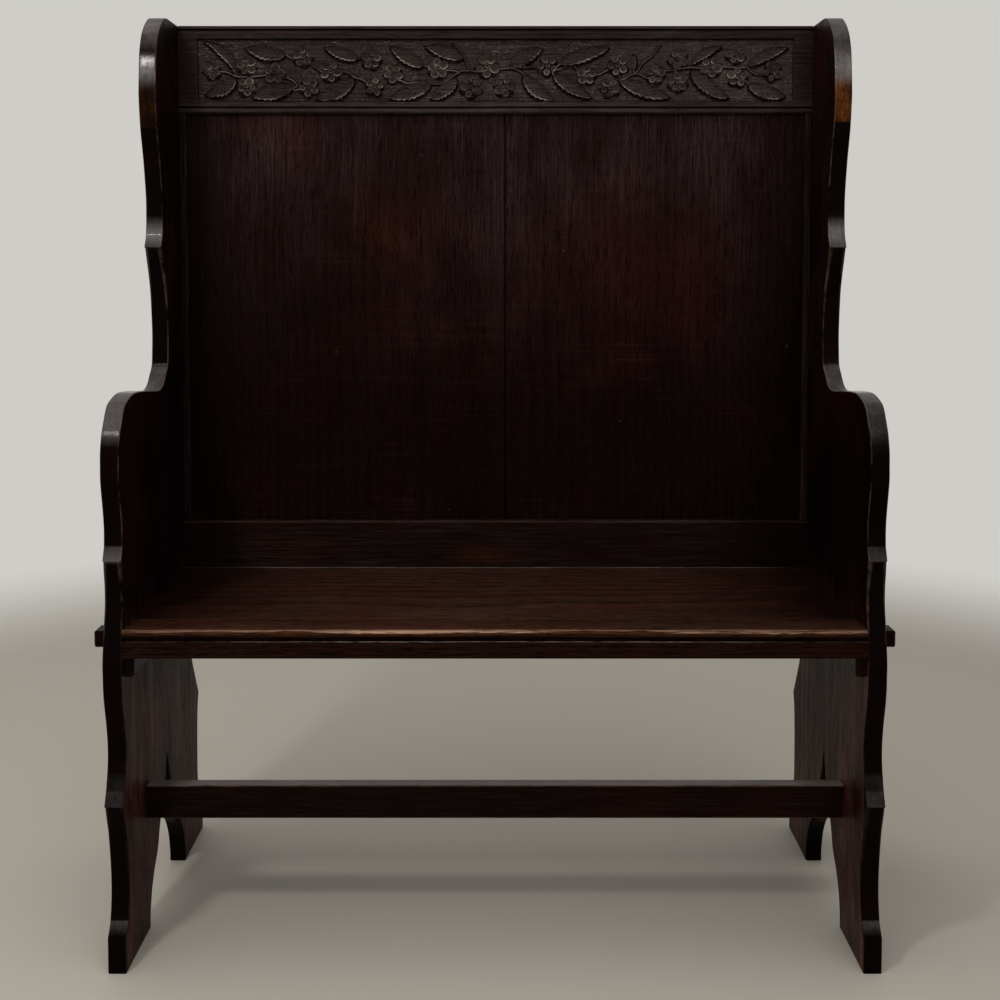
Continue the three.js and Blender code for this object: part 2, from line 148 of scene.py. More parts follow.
def hangLamp(name, power, size, place, target):
    lamp = bpy.data.lights.new(name, "AREA")
    lamp.shape = "RECTANGLE"
    lamp.size, lamp.size_y = size
    lamp.energy = power
    holder = addObject(name, lamp)
    holder.location = place
    holder.rotation_euler = (Vector(target) - Vector(place)).to_track_quat("-Z", "Y").to_euler()


paintWorld()
layFloor()
for name, lamp in studio["lamps"].items():
    hangLamp(name, *lamp)
print("studio lit")


# oak: straight coarse grain with long open pores, stained near black and waxed, so it is dark and satin with
# red and amber depths, a grey bloom of old wax along the grain, and paler arrises where it is handled
oakLook = {
    # colours of the wood, its stain, its dirt, its worn places and its wax, and of painted shade, highlights
    # and reflections
    "deep": "#060202", "stain": "#140705", "red": "#2e0b08", "amber": "#4a2110", "shade": "#0b0403",
    "pore": "#030101", "worn": "#7a5440", "bare": "#a97f5d", "rubbed": "#7a441c",
    "bloom": "#4a423f", "speck": "#8d837a", "sky": "#6f6966", "wax": "#85807d",
    # widths across the grain, and how much slower the figure changes along it
    "fibreWidth": 2.4 * mm, "poreWidth": 1.0 * mm, "streakWidth": 1.7 * mm, "ringWidth": 8 * mm,
    "smearWidth": 22 * mm, "patchWidth": 90 * mm, "speckGap": 34 * mm, "wander": 3 * mm, "slow": 0.05,
    # how much there is of each
    "tone": 1.0, "redness": 0.5, "blooming": 0.3, "streaky": 1.0, "strokes": 0.0, "specks": 0.0, "dust": 0.0,
    "wear": 0.5, "skyward": 0.0, "waxed": 0.0, "porosity": 0.5, "relief": 1.0,
    # polish, and what only some boards have
    "gloss": 0.34, "dull": 0.0, "specular": 0.06, "tint": "#ffc2ad",
    "bloomRise": None, "lowerLips": False, "patches": [], "bands": [],
}
# a band of other colour along a board: unless it says otherwise, it is even and goes all the way
evenBand = {"high": 1.0, "waver": 0.0, "front": 1.0, "deep": 1.0, "fade": (0, 1), "ends": 1.0}


def oakMaterial(name, grain, place, **changes):
    look = {**oakLook, **changes}
    material, add = emptyMaterial(name)

    # a texture that changes this much slower along the grain than across it
    def drawnOut(kind, slow, inputs, **settings):
        scale = {"X": (slow, 1, 1), "Y": (1, slow, 1), "Z": (1, 1, slow)}[grain]
        board = add("Mapping", {"Vector": bent, "Location": place, "Scale": scale})
        return add(kind, {"Vector": board, **inputs}, **settings)

    # how much of something: the product of its shares. A share is a number, a node or the name of one of
    # the mesh's shares, or a tuple of such a value, its limits and what they give, if that isn't 0 and 1
    def amount(*shares):
        product = None
        for share in shares:
            value, *limits = share if isinstance(share, tuple) else (share,)
            if isinstance(value, str):
                value = add("Attribute", attribute_name=value).outputs["Fac"]
            if limits:
                low, high, least, most = limits + [0.0, 1.0][len(limits) - 2:]
                value = add("MapRange", {
                    "Value": value, "From Min": low, "From Max": high, "To Min": least, "To Max": most})
            if product is not None:
                value = add("Math", {0: product, 1: value}, operation="MULTIPLY", use_clamp=True)
            product = value
        return product

    # the grain wanders a few millimetres from straight
    where = add("TexCoord").outputs["Object"]
    drift = add("TexNoise", {"Vector": where, "Scale": 3.5, "Detail": 1.0})
    drift = add("VectorMath", {0: drift.outputs["Color"], 1: (0.5, 0.5, 0.5)}, operation="SUBTRACT")
    drift = add("VectorMath", {0: drift, "Scale": look["wander"] * 4}, operation="SCALE")
    bent = add("VectorMath", {0: where, 1: drift}, operation="ADD")
    rings = drawnOut("TexWave", look["slow"], {
        "Scale": 0.1 * math.pi / look["ringWidth"], "Distortion": 9.0, "Detail": 2.0,
        "Detail Scale": 0.09, "Detail Roughness": 0.55,
    }, wave_type="RINGS", rings_direction=grain, wave_profile="SAW").outputs["Fac"]
    fibre = drawnOut("TexNoise", look["slow"], {
        "Scale": 1 / look["fibreWidth"], "Detail": 4.0, "Roughness": 0.62})
    porous = drawnOut("TexNoise", look["slow"], {"Scale": 1 / look["poreWidth"]})
    streak = drawnOut("TexNoise", 0.02, {"Scale": 1 / look["streakWidth"], "Detail": 3.0, "Roughness": 0.6})
    smear = drawnOut("TexNoise", 0.08, {"Scale": 1 / look["smearWidth"], "Detail": 3.0, "Roughness": 0.6})
    patch = drawnOut("TexNoise", 0.45, {"Scale": 1 / look["patchWidth"], "Detail": 3.0, "Roughness": 0.6})
    blotch = add("TexNoise", {
        "Vector": where, "Scale": 4.0, "Detail": 3.0, "Roughness": 0.55, "Distortion": 0.6})
    chafe = add("TexNoise", {"Vector": where, "Scale": 26.0, "Detail": 4.0, "Roughness": 0.7})
    axes = add("SeparateXYZ", {0: where}).outputs
    skyFacing = add("SeparateXYZ", {0: add("NewGeometry").outputs["Normal"]}).outputs["Z"]

    # earlywood lines hold more pores than the wood between them
    early = amount((rings, 0.15, 0.85, 0.085, 0.0))
    pores = amount((add("Math", {0: porous, 1: early}, operation="ADD"), 0.6, 0.68))
    tone = add("Math", {0: rings, 1: 0.3, 2: amount((fibre, 0.32, 0.72))}, operation="MULTIPLY_ADD")
    tone = add("Math", {0: tone, 1: 0.75 * look["tone"]}, operation="MULTIPLY")
    colour = add("Mix", {
        0: tone, 6: linear(look["deep"]), 7: linear(look["stain"]),
    }, data_type="RGBA", clamp_factor=False).outputs[2]

    # other colours are laid over that one by one: each is a hue and the shares of how much there is of it
    redness = [(blotch, 0.5, 0.76, 0.0, look["redness"])]
    # grey bloom: fine streaks in patches; there is more of it at the top of the back, as painted light,
    # and at the foot of the ends, as a painted reflection of the floor
    bloom = [(streak, 0.46, 0.68, 1 - 0.88 * look["streaky"]), (patch, 0.4, 0.66, 0.1, look["blooming"])]
    if look["bloomRise"]:
        bloom.append((axes["Z"], *look["bloomRise"]))
    if look["dull"]:  # polished rims have little of either
        redness.append(("polished", 0.0, 1.0, 1.0, 0.25))
        bloom.append(("polished", 0.0, 1.0, 1.0, 0.0))
    layers = [("red", *redness), ("bloom", *bloom)]
    if look["strokes"]:  # faint strokes left by the polishing cloth across the width of the back
        stroke = add("Mapping", {"Vector": where, "Scale": (2.0, 1, 90)})
        swept = add("TexNoise", {"Vector": stroke, "Scale": 4.0, "Detail": 3.0})
        layers.append(("bloom", (swept, 0.52, 0.7, 0.0, look["strokes"]), (blotch, 0.4, 0.6)))
    for hue, x, z, halfWidth, halfHeight, most in look["patches"]:  # where the stain is thin or thick, and where painted shade darkens a board
        off = add("VectorMath", {0: bent, 1: (x, 0, z)}, operation="SUBTRACT")
        off = add("VectorMath", {0: off, 1: (1 / halfWidth, 0, 1 / halfHeight)}, operation="MULTIPLY")
        off = add("VectorMath", {0: off}, operation="LENGTH").outputs["Value"]
        uneven = add("Math", {0: patch, 1: -1.6, 2: off}, operation="MULTIPLY_ADD")
        layers.append((hue, (uneven, -0.6, 0.4, most, 0.0), (streak, 0.3, 0.6, 0.55)))

    # wear: eased arrises first, broken up along their length, then whatever hands have polished; painted
    # highlights, reflections and glints go in among them
    worn = ["arris", (chafe, 0.4, 0.62, 0.0, look["wear"])]
    if look["lowerLips"]:  # painted highlight on carved lips that face down, and painted shade on the slopes that face up
        worn.append((skyFacing, 0.05, -0.35, 0.06, 1.0))
        layers.append(("pore", (skyFacing, 0.1, 0.45, 0.0, 0.85)))
    layers.append(("worn", *worn))
    # faces that face up are paler: dust, and a painted reflection of the light above them
    if look["dust"]:
        layers.append(("speck", (skyFacing, 0.5, 0.95), (patch, 0.3, 0.7, 0.4 * look["dust"], look["dust"])))
    if look["skyward"]:  # painted reflection of the ceiling: grey on polished rims that face up
        layers.append(("sky", "polished", (skyFacing, 0.26, 0.5), (chafe, 0.35, 0.6, 0.4, look["skyward"])))
    layers.append(("rubbed", "handled", (chafe, 0.4, 0.58, 0.15), (fibre, 0.35, 0.65, 0.4)))
    if look["waxed"]:  # painted glint: pale grey where the wax is thick
        layers.append(("wax", "waxed", (chafe, 0.38, 0.58, 0.7, 1.0)))
    for band in look["bands"]:  # zones that run along the board: their limits waver, and both ends are duller
        band = {**evenBand, **band}
        waver = amount((smear, 0.35, 0.65, -band["waver"], band["waver"]))
        height = add("Math", {0: axes["Z"], 1: waver}, operation="ADD")
        offMiddle = add("Math", {0: axes["X"]}, operation="ABSOLUTE")
        layers.append((
            band["hue"],
            (height, band["low"], band["low"] + band["soft"]),
            (height, band["high"], band["high"] + band["soft"], 1.0, 0.0),
            (axes["Y"], band["front"], band["front"] + band["deep"], 1.0, 0.0),
            (offMiddle, *band["fade"], band["amount"], band["ends"] * band["amount"]),
            (streak, 0.36, 0.52, band["least"])))
    # dirt and old stain stay dark in grooves and in open pores; in the low parts of the carving the dark is
    # dirt and painted shade
    layers += [("pore", "sunk", 0.93), ("pore", pores, look["porosity"])]
    if look["specks"]:
        cells = add("TexVoronoi", {"Vector": where, "Scale": 1 / look["speckGap"]})
        layers.append(("speck", (cells.outputs["Distance"], 0.014, 0.024, look["specks"], 0.0)))
    for hue, *shares in layers:
        laid = {0: amount(*shares), 6: colour, 7: linear(look[hue])}
        colour = add("Mix", laid, data_type="RGBA").outputs[2]

    # polish: satin, patchy along the grain, with the strokes of the cloth on the back
    sheen = amount((smear, 0.3, 0.7, look["gloss"] - 0.07, look["gloss"] + 0.1))
    if look["strokes"]:
        sheen = add("Math", {0: amount((swept, 0.4, 0.65)), 1: -0.1, 2: sheen}, operation="MULTIPLY_ADD")
    if look["dull"]:  # the broad faces are less polished than the rims that hands and knees reach
        matt = amount(("polished", 0.0, 1.0, look["dull"], 0.0))
        sheen = add("Math", {0: matt, 1: sheen}, operation="ADD")
    sheen = add("Math", {0: pores, 1: 0.2, 2: sheen}, operation="MULTIPLY_ADD", use_clamp=True)
    # a board that has moved a little, its fibres, and its pores
    heave = drawnOut("TexNoise", look["slow"], {"Scale": 1 / (30 * mm), "Detail": 1.0})
    bump = add("Bump", {"Height": heave, "Strength": 0.3 * look["relief"], "Distance": 0.8 * mm})
    bump = add("Bump", {
        "Height": fibre, "Strength": 0.35 * look["relief"], "Distance": 0.2 * mm, "Normal": bump})
    bump = add("Bump", {
        "Height": pores, "Strength": 0.5 * look["relief"], "Distance": 0.25 * mm, "Normal": bump,
    }, invert=True)
    surface = {"Base Color": colour, "Roughness": sheen, "Specular IOR Level": look["specular"],
               "Specular Tint": linear(look["tint"]), "Normal": bump}
    if look["waxed"]:  # hard polished wax where hands and sleeves rub
        coat = amount("waxed", (chafe, 0.38, 0.58, 0.35 * look["waxed"], look["waxed"]))
        surface.update({"Coat Weight": coat, "Coat Normal": bump, "Coat Roughness": look["gloss"]})
    add("OutputMaterial", {"Surface": add("BsdfPrincipled", surface)})
    return material


# mild steel: drawn wire, dull grey with rust freckles in the slot and round the head
def steelMaterial():
    material, add = emptyMaterial("dull mild steel")
    where = add("TexCoord").outputs["Object"]
    freckles = add("TexNoise", {"Vector": where, "Scale": 700.0, "Detail": 4.0})
    rust = add("MapRange", {"Value": freckles, "From Min": 0.48, "From Max": 0.62})
    colour = add("Mix", {0: rust, 6: linear("#5a5654"), 7: linear("#3c2419")}, data_type="RGBA").outputs[2]
    metal = add("MapRange", {"Value": rust, "To Min": 1.0, "To Max": 0.1})
    rough = add("MapRange", {"Value": freckles, "To Min": 0.35, "To Max": 0.7})
    bump = add("Bump", {"Height": freckles, "Strength": 0.4, "Distance": 0.1 * mm})
    body = add("BsdfPrincipled", {
        "Base Color": colour, "Metallic": metal, "Roughness": rough, "Normal": bump})
    add("OutputMaterial", {"Surface": body})
    return material


def setMaterial(piece, material):
    piece.data.materials.clear()
    piece.data.materials.append(material)


def finishPiece(piece, node, material):
    setMaterial(piece, material)
    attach(piece, "root")
    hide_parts(node)
    setMaterial(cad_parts[node], material)


# shares say for each corner how far it is worn, dirty, handled or waxed, and where painted shade and
# painted highlights and glints go; the oak looks them up by name
def setShare(mesh, name, shares):
    layer = mesh.attributes.new(name, "FLOAT", "POINT")
    layer.data.foreach_set("value", np.asarray(shares, np.float32))


def newMesh(name, verts, faces, **shares):
    mesh = bpy.data.meshes.new(name)
    mesh.from_pydata(verts, [], faces)
    for mark, values in shares.items():
        setShare(mesh, mark, values)
    return mesh


def faceOutward(mesh, towards=None, weld=None):
    work = bmesh.new()
    work.from_mesh(mesh)
    if weld:
        bmesh.ops.remove_doubles(work, verts=work.verts, dist=weld)
    bmesh.ops.recalc_face_normals(work, faces=work.faces)
    if towards and sum(f.normal.dot(towards) * f.calc_area() for f in work.faces) < 0:
        bmesh.ops.reverse_faces(work, faces=work.faces)
    work.to_mesh(mesh)
    work.free()


def smoothPiece(name, mesh, sharpAngle=38):
    piece = addObject(name, mesh)
    mesh.shade_smooth()
    work = bmesh.new()
    work.from_mesh(mesh)
    for edge in work.edges:
        if len(edge.link_faces) != 2 or edge.calc_face_angle(0) > math.radians(sharpAngle):
            edge.smooth = False
    work.to_mesh(mesh)
    work.free()
    normals = piece.modifiers.new("even faces", "WEIGHTED_NORMAL")
    normals.keep_sharp = True
    return piece


# a sawn board: the CAD solid with its long edges eased by hand
def easedBoard(node, name, easing, shortest=15 * mm, segments=3, mark="arris"):
    work = bmesh.new()
    work.from_mesh(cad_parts[node].data)
    bmesh.ops.remove_doubles(work, verts=work.verts, dist=1e-6)
    bmesh.ops.dissolve_limit(work, angle_limit=math.radians(0.5), verts=work.verts, edges=work.edges)
    edges = [e for e in work.edges if len(e.link_faces) == 2
             and e.calc_face_angle(0) > math.radians(25) and e.calc_length() > shortest]
    made = bmesh.ops.bevel(work, geom=edges, offset=easing, segments=segments, profile=0.5,
                           affect="EDGES", clamp_overlap=True)
    eased = set(made["faces"])
    shares = [1.0 if v.link_faces and all(f in eased for f in v.link_faces) else 0.0 for v in work.verts]
    mesh = bpy.data.meshes.new(name)
    work.to_mesh(mesh)
    work.free()
    setShare(mesh, mark, shares)
    return smoothPiece(name, mesh)


def dressBoard(node, name, slot, material, easing, **how):
    finishPiece(easedBoard(node, name, easing, **how), node, material)


# ends: the plank's outline is read off the CAD node, smoothed, and its two arrises are rounded
ends = {
    "arris": 1.7 * mm, "scoop": 6.0 * mm, "scoopLength": 0.12, "ledges": (0.221, 0.536, 0.934),
    "steps": 4, "finer": 3, "cornerAngle": 31, "straight": 13 * mm,
    "frontBefore": 0.1, "rubbedAbove": 0.43, "lessBelow": 0.15,
    "handled": {"left": (1.1, 1.175, 0.4), "right": (1.108, 1.215, 1.76)},  # from, to, how much
    "waxed": {  # thick wax with a painted glint: middle, reach, how much
        "left": [(1.181, 0.03, 0.42), (0.708, 0.028, 0.2), (0.955, 0.025, 0.5), (0.543, 0.011, 1.0)],
        "right": [(1.188, 0.034, 0.7), (0.955, 0.025, 0.46), (0.543, 0.009, 0.6)]},
}


# the closed outlines of the node's flat face at that x, the longest first
def faceLoops(node, x):
    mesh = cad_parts[node].data
    corners = [tuple(round(c, 5) for c in v.co) for v in mesh.vertices]
    used = {}
    for face in mesh.polygons:
        points = [corners[i] for i in face.vertices]
        if all(abs(p[0] - x) < 1e-5 for p in points):
            for a, b in zip(points, points[1:] + points[:1]):
                used[(a[1:], b[1:])] = True
    after = {a: b for a, b in used if (b, a) not in used}
    loops = []
    while after:
        start = next(iter(after))
        loop = [start]
        spot = after.pop(start)
        while spot != start and spot in after:
            loop.append(spot)
            spot = after.pop(spot)
        loops.append(loop)
    return sorted(loops, key=len, reverse=True)


# a curve through the points, apart from corners and straight runs, which stay as they are
def smoothOutline(loop):
    points = [Vector(p) for p in loop]
    count = len(points)

    def isCorner(i):
        before, here, after = points[i - 1], points[i], points[(i + 1) % count]
        if max((here - before).length, (after - here).length) > ends["straight"]:
            return True
        return (here - before).angle(after - here) > math.radians(ends["cornerAngle"])

    corner = [isCorner(i) for i in range(count)]
    fine = []
    for i in range(count):
        a, b = points[i], points[(i + 1) % count]
        fine.append(a)
        if (b - a).length > ends["straight"]:
            continue
        toA = (b - a) if corner[i] else (b - points[i - 1]) / 2
        toB = (b - a) if corner[(i + 1) % count] else (points[(i + 2) % count] - a) / 2
        for step in range(1, ends["finer"]):
            t = step / ends["finer"]
            t2, t3 = t * t, t * t * t
            fine.append(a * (2 * t3 - 3 * t2 + 1) + toA * (t3 - 2 * t2 + t)
                        + b * (3 * t2 - 2 * t3) + toB * (t3 - t2))
    return fine


# the front arrises are scooped wider below each ledge
def arrisRadius(point):
    radius = ends["arris"]
    for ledge in ends["ledges"]:
        drop = (ledge - point.y) / ends["scoopLength"]
        if 0 <= drop < 1 and point.x < ends["frontBefore"]:
            radius = max(radius, ends["arris"] + (ends["scoop"] - ends["arris"]) * (1 - drop) ** 1.4)
    return radius


def handledShare(point, side):
    low, high, most = ends["handled"][side]
    along = (point.y - low) / (high - low)
    return most * along ** 0.3 * (1 - along) if 0 < along < 1 and point.x < ends["frontBefore"] else 0.0


def waxedShare(point, side):
    if point.x > ends["frontBefore"]:
        return 0.0
    return max(most * max(0.0, 1 - ((point.y - z) / reach) ** 2) ** 2
               for z, reach, most in ends["waxed"][side])


def shapedEnd(node, name):
    low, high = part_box(node)
    side = "left" if low.x < 0 else "right"
    inner, outer = (low.x, high.x) if side == "right" else (high.x, low.x)
    away = 1 if side == "right" else -1
    loops = faceLoops(node, outer)
    outline = smoothOutline(loops[0])
    mortise = [Vector(p) for p in loops[1]]
    count = len(outline)
    turn = 1 if sum(a.x * b.y - b.x * a.y for a, b in zip(outline, outline[1:] + outline[:1])) > 0 else -1
    inward = []
    for i, here in enumerate(outline):
        a = (here - outline[i - 1]).normalized()
        b = (outline[(i + 1) % count] - here).normalized()
        left = Vector((-(a.y + b.y), a.x + b.x)) * turn
        inward.append(left.normalized() / max(0.45, math.cos(a.angle(b) / 2)))
    radii = [arrisRadius(p) for p in outline]
    steps = ends["steps"]
    verts, arris, handled, polished, waxed = [], [], [], [], []
    rings = [(k, inner, 1) for k in range(steps + 1)] + [(k, outer, -1) for k in range(steps, -1, -1)]
    for k, face, way in rings:
        angle = math.pi / 2 * k / steps
        for point, normal, radius in zip(outline, inward, radii):
            spot = point + normal * radius * (1 - math.sin(angle))
            verts.append((face + away * way * radius * (1 - math.cos(angle)), spot.x, spot.y))
            wear = 1.0 if point.y > ends["rubbedAbove"] else ends["lessBelow"]
            arris.append(wear if 0 < k < steps else 0.0)
            handled.append(handledShare(point, side) * min(1.0, 1.5 * k / steps))
            polished.append(min(1.0, 2 * k / steps))
            waxed.append(waxedShare(point, side) * min(1.0, 2 * k / steps))
    faces = []
    for ring in range(len(rings) - 1):
        for i in range(count):
            j = (i + 1) % count
            faces.append((ring * count + i, ring * count + j, (ring + 1) * count + j, (ring + 1) * count + i))
    # the mortise goes right through, so both broad faces are filled between the outline and it
    last = (len(rings) - 1) * count
    hole = len(verts)
    size = len(mortise)
    verts += [(face, p.x, p.y) for face in (inner, outer) for p in mortise]
    for shares in (arris, handled, polished, waxed):
        shares += [0.0] * 2 * size
    for i in range(size):
        j = (i + 1) % size
        faces.append((hole + i, hole + size + i, hole + size + j, hole + j))
    for start, holeStart in ((0, hole), (last, hole + size)):
        rim = [Vector((verts[start + i][1], verts[start + i][2], 0)) for i in range(count)]
        inside = [Vector((p.x, p.y, 0)) for p in mortise]
        index = [start + i for i in range(count)] + [holeStart + i for i in range(size)]
        for a, b, c in tessellate_polygon([rim, inside]):
            faces.append((index[a], index[b], index[c]))
    mesh = newMesh(name, verts, faces, arris=arris, handled=handled, polished=polished, waxed=waxed)
    faceOutward(mesh)
    return smoothPiece(name, mesh)


# the ends: painted shade on the arms, a painted reflection of the floor at their foot, and painted
# reflections and glints, grey, on the rims that face up and where the wax is thick
endOak = oakMaterial(
    "stained oak plank", "Z", (0.31, 0.12, 0.0), ringWidth=9 * mm, deep="#040202", stain="#0f0605", tone=0.7,
    redness=0.45, worn="#6e5649", gloss=0.12, dull=0.26, dust=0.18, skyward=0.14, specular=0.03, waxed=0.7,
    tint="#ffe4d8", wear=0.45, bloom="#7a4a40", blooming=1.0, bloomRise=(0.48, 0.3, 0.1, 1.0), relief=0.7,
    patches=[("deep", 0.49, 0.6, 60 * mm, 130 * mm, 0.7), ("deep", -0.49, 0.6, 60 * mm, 130 * mm, 0.4)])
for side in ("left", "right"):
    finishPiece(shapedEnd(side + "_end", side + "_end_plank"), side + "_end", endOak)
print("ends shaped")


# seat: a warm brown plank, with painted shade at both ends; the nosing of the front rail is rubbed pale,
# amber below that, with painted shade in the hollow under it, and a painted highlight on the lower lip of its
# groove
seat = {"easing": 1.2 * mm, "railEasing": 0.8 * mm, "bearerEasing": 1.0 * mm}
railLow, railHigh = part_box("seat_front_rail")
seatOak = oakMaterial(
    "waxed oak seat", "X", (0.0, 0.17, 0.06), deep="#090302", stain="#391e13", redness=0.45, blooming=0.4,
    tone=1.4, specular=0.05, gloss=0.3, porosity=0.9, worn="#5d4030",
    # painted shade at both ends of the seat, where the arms shade it
    patches=[("shade", -0.49, 0.44, 200 * mm, 1.0, 1.0), ("shade", 0.49, 0.44, 205 * mm, 1.0, 1.0)],
    bands=[{"low": 0.0, "soft": 1 * mm, "front": railLow.y + 20 * mm, "deep": 90 * mm, "amount": 0.22,
            "fade": (0.34, 0.45), "ends": 0.1, "least": 0.15, "hue": "worn"}])
noseBand = {"waver": 2.0 * mm, "front": railLow.y + 4 * mm, "deep": 8 * mm, "fade": (0.15, 0.47), "ends": 0.4}
apronBand = {"waver": 0.4 * mm, "front": railLow.y + 3 * mm, "deep": 3 * mm, "fade": (0.25, 0.36)}
nosingOak = oakMaterial(
    "rubbed oak nosing", "X", (0.0, 0.17, 0.06), deep="#090302", stain="#341a0f", redness=0.35, blooming=0.3,
    tone=1.5, specular=0.025, gloss=0.3, porosity=0.9, wear=0.3, bare="#b08c74", worn="#5d4030",
    speck="#95837d", amber="#40220a",
    # painted shade at both ends of the rail and on its tenons
    patches=[("shade", -0.51, 0.433, 32 * mm, 40 * mm, 1.0), ("shade", 0.51, 0.433, 32 * mm, 40 * mm, 1.0)],
    bands=[
        # painted shade on the face of the rail below the nosing
        {**apronBand, "low": 0.3, "high": railHigh.z - 5 * mm, "soft": 2 * mm,
         "amount": 0.6, "least": 0.45, "hue": "shade"},
        {**noseBand, "low": railHigh.z - 2 * mm, "soft": 1 * mm, "deep": 60 * mm,
         "amount": 0.22, "least": 0.15, "hue": "worn"},
        {**noseBand, "low": railHigh.z - 5.4 * mm, "soft": 1.2 * mm, "deep": 15 * mm,
         "amount": 0.8, "least": 0.3, "hue": "amber"},
        {**noseBand, "low": railHigh.z - 2.1 * mm, "soft": 1.0 * mm, "waver": 1.8 * mm,
         "amount": 0.82, "least": 0.06, "hue": "bare"},
        # dirt in the groove and painted shade under the nosing
        {**apronBand, "low": railHigh.z - 12.4 * mm, "high": railHigh.z - 7.4 * mm, "soft": 0.8 * mm,
         "amount": 0.95, "least": 0.75, "hue": "pore"},
        # painted highlight on the lower lip of the groove
        {**apronBand, "low": railHigh.z - 13.7 * mm, "high": railHigh.z - 12.8 * mm, "soft": 0.4 * mm,
         "front": railLow.y + 0.9 * mm, "deep": 1 * mm, "ends": 0.1,
         "amount": 0.8, "least": 0.4, "hue": "speck"},
    ])
bearerOak = oakMaterial(
    "dull oak cleat", "Y", (0.2, 0.0, 0.1), ringWidth=6 * mm, deep="#040202", stain="#0c0504", tone=0.6,
    gloss=0.4, specular=0.05)
dressBoard("seat_board", "seat_plank", "worn_oak", seatOak, seat["easing"])
dressBoard("seat_front_rail", "seat_nosing_rail", "worn_oak", nosingOak, seat["railEasing"], shortest=10 * mm)
for side in ("left", "right"):
    dressBoard(side + "_seat_bearer", side + "_seat_cleat", "dark_oak", bearerOak,
               seat["bearerEasing"], shortest=20 * mm)
print("seat laid")


# back: panels with upright grain between two rails, thin fillets down both sides; the stretcher is below
back = {"easing": 1.0 * mm, "panelEasing": 0.8 * mm, "filletEasing": 0.8 * mm, "stretcherEasing": 1.0 * mm}
# panels: the bloom is heavier towards the top as painted light, and the last two patches are painted shade
# towards both ends
panelOak = oakMaterial(
    "waxed oak panel", "Z", (0.05, 0.09, 0.4), ringWidth=11 * mm, deep="#070302", stain="#180906", tone=0.8,
    specular=0.035, bloom="#4a3c3b", tint="#ffab94", gloss=0.36, red="#300b0d", blooming=0.28,
    porosity=0.8, bloomRise=(0.7, 1.15, 0.17, 2.3), streaky=0.74, strokes=0.1, specks=0.5, relief=0.7,
    patches=[
        ("amber", -0.293, 1.098, 28 * mm, 45 * mm, 0.22), ("red", -0.15, 0.96, 110 * mm, 110 * mm, 0.35),
        ("amber", -0.165, 0.955, 55 * mm, 45 * mm, 0.17), ("red", 0.21, 0.91, 150 * mm, 130 * mm, 0.4),
        ("red", 0.3, 0.87, 60 * mm, 110 * mm, 0.3), ("deep", -0.28, 0.83, 150 * mm, 110 * mm, 0.4),
        ("deep", -0.47, 0.82, 85 * mm, 420 * mm, 0.95), ("deep", 0.47, 0.8, 85 * mm, 420 * mm, 1.0)])
railOak = oakMaterial(
    "waxed oak rail", "X", (0.3, 0.08, 0.13), ringWidth=7 * mm, stain="#1c0c08", gloss=0.32, blooming=0.4,
    patches=[("amber", -0.02, 0.465, 60 * mm, 20 * mm, 0.35), ("amber", -0.3, 0.48, 90 * mm, 25 * mm, 0.12),
             # painted shade towards both ends of the rail
             ("shade", -0.49, 0.48, 110 * mm, 1.0, 0.7), ("shade", 0.49, 0.48, 200 * mm, 1.0, 0.9)],
    # a thin pale line where the rail meets the seat
    bands=[{"low": 0.4472, "high": 0.4486, "soft": 0.4 * mm, "waver": 0.2 * mm,
            "amount": 0.4, "fade": (0.36, 0.44), "ends": 0.2, "least": 0.3, "hue": "speck"}])
# the carving is paler and greyer than the rail it is cut from, as painted light and reflection on the relief;
# its pale lip colour is a painted highlight on the lips that face down
carvedOak = oakMaterial(
    "carved oak rail", "X", (0.3, 0.08, 0.13), ringWidth=7 * mm, deep="#150f0e", stain="#3d312e",
    bloom="#695c59", gloss=0.4, specular=0.015, tint="#ffe8e0", redness=0.15, blooming=0.4, porosity=0.3,
    wear=1.0, worn="#bfada3", lowerLips=True, patches=[("bloom", 0.35, 1.2, 220 * mm, 400 * mm, 0.2)])
topRailOak = oakMaterial(
    "waxed oak top rail", "X", (0.3, 0.08, 0.13), ringWidth=7 * mm, deep="#130d0c", stain="#342623",
    gloss=0.36, specular=0.02, tint="#ffe0d4", redness=0.2, blooming=0.5, worn="#4a3e3a",
    # the two deep patches are painted shade at both ends, under the ears
    patches=[("bloom", 0.0, 1.142, 900 * mm, 12 * mm, 0.45), ("deep", -0.47, 1.2, 26 * mm, 90 * mm, 0.8),
             ("deep", 0.47, 1.2, 22 * mm, 90 * mm, 0.7)],
    # dirt in the scratched line below the frieze and in the one above it
    bands=[{"low": z - 1.9 * mm, "high": z + 1.6 * mm, "soft": 0.4 * mm, "waver": 0.2 * mm,
            "amount": 0.95, "least": 0.8, "hue": "pore"} for z in (1.143, 1.2575)])
filletOak = oakMaterial("stained oak fillet", "Z", (0.4, 0.3, 0.1), ringWidth=5 * mm, tone=0.6, gloss=0.36)
# its top is paler: dust, and a painted reflection
stretcherOak = oakMaterial(
    "waxed oak stretcher", "X", (0.1, 0.22, 0.31), ringWidth=6 * mm, stain="#100504", gloss=0.2, redness=0.4,
    blooming=0.1, wear=0.4, dust=0.9)
for side in ("left", "right"):
    dressBoard(side + "_back_panel", side + "_panel_board", "stained_oak", panelOak,
               back["panelEasing"], mark="sunk")
    dressBoard(side + "_back_fillet", side + "_fillet_strip", "stained_oak", filletOak, back["filletEasing"])
dressBoard("lower_back_rail", "lower_rail_board", "stained_oak", railOak, back["easing"])
dressBoard("stretcher", "stretcher_board", "stained_oak", stretcherOak, back["stretcherEasing"])
dressBoard("top_rail", "carved_top_rail", "stained_oak", topRailOak, back["easing"])
print("back and stretcher built")


steel = steelMaterial()
for name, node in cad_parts.items():
    if "screw" in name:
        setMaterial(node, steel)


